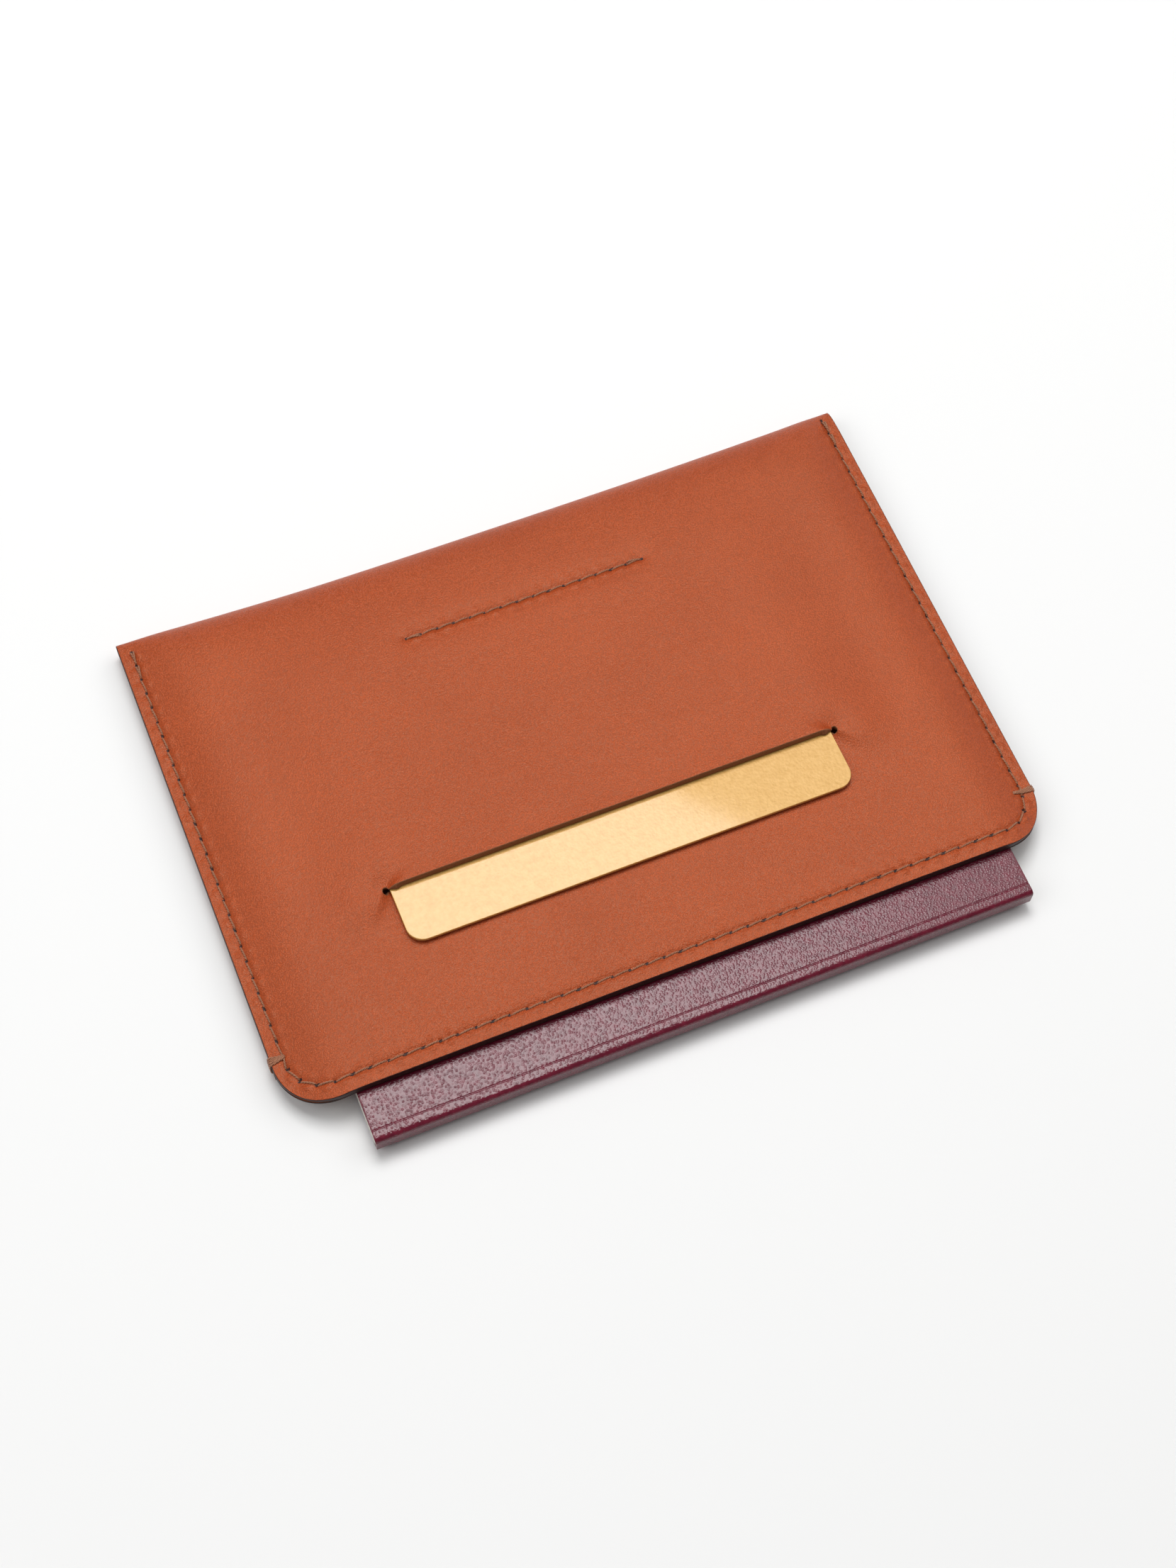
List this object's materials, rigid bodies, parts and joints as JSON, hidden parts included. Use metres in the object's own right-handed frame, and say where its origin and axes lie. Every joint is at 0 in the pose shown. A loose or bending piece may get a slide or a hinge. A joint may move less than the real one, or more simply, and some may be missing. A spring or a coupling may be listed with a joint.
{
  "type": "leather passport sleeve",
  "caption": "Folded leather sleeve stitched on three sides, with a slit in its front that holds a card and an open side that a booklet slides into.",
  "frame": {"origin": "centre of the sleeve's outline in plan, on the underside of its back panel", "axes": "+X along the fold, to the right; +Y from the mouth to the fold; +Z out of the front panel, the side with the card"},
  "size_m": [0.1472, 0.1088, 0.0108],
  "materials": {
    "hide": "smooth tan vegetable-tanned, satin",
    "lining": "thin, smooth, matt",
    "thread": "twisted two-ply, waxed",
    "card": "gold, fine satin texture",
    "booklet_cover": "burgundy leatherette, fine pebble grain, semi-gloss",
    "paper": "matt",
    "binding_thread": "waxed"
  },
  "bodies": {
    "sleeve": {"outer_shell": "hide", "front_lining": "lining", "left_seam_needle_thread": "thread", "left_seam_bobbin_thread": "thread", "right_seam_needle_thread": "thread", "right_seam_bobbin_thread": "thread", "hem_seam_needle_thread": "thread", "hem_seam_bobbin_thread": "thread", "stop_seam_needle_thread": "thread", "stop_seam_bobbin_thread": "thread", "left_bar_tack": "thread", "right_bar_tack": "thread"},
    "card": {"card": "card"},
    "booklet": {"booklet_cover": "booklet_cover", "front_endpaper": "paper", "back_endpaper": "paper", "page_sheet_1": "paper", "page_sheet_2": "paper", "page_sheet_3": "paper", "page_sheet_4": "paper", "page_sheet_5": "paper", "page_sheet_6": "paper", "page_sheet_7": "paper", "page_sheet_8": "paper", "binding_thread": "binding_thread"}
  },
  "joints": [
    {"name": "booklet_slide", "type": "slide", "parent": "sleeve", "child": "booklet", "axis": [0, -1, 0], "range_m": [-0.012, 0.08]},
    {"name": "card_slide", "type": "slide", "parent": "sleeve", "child": "card", "axis": [0, -0.9995, 0.0316], "range_m": [-0.0017, 0.0431]}
  ]
}
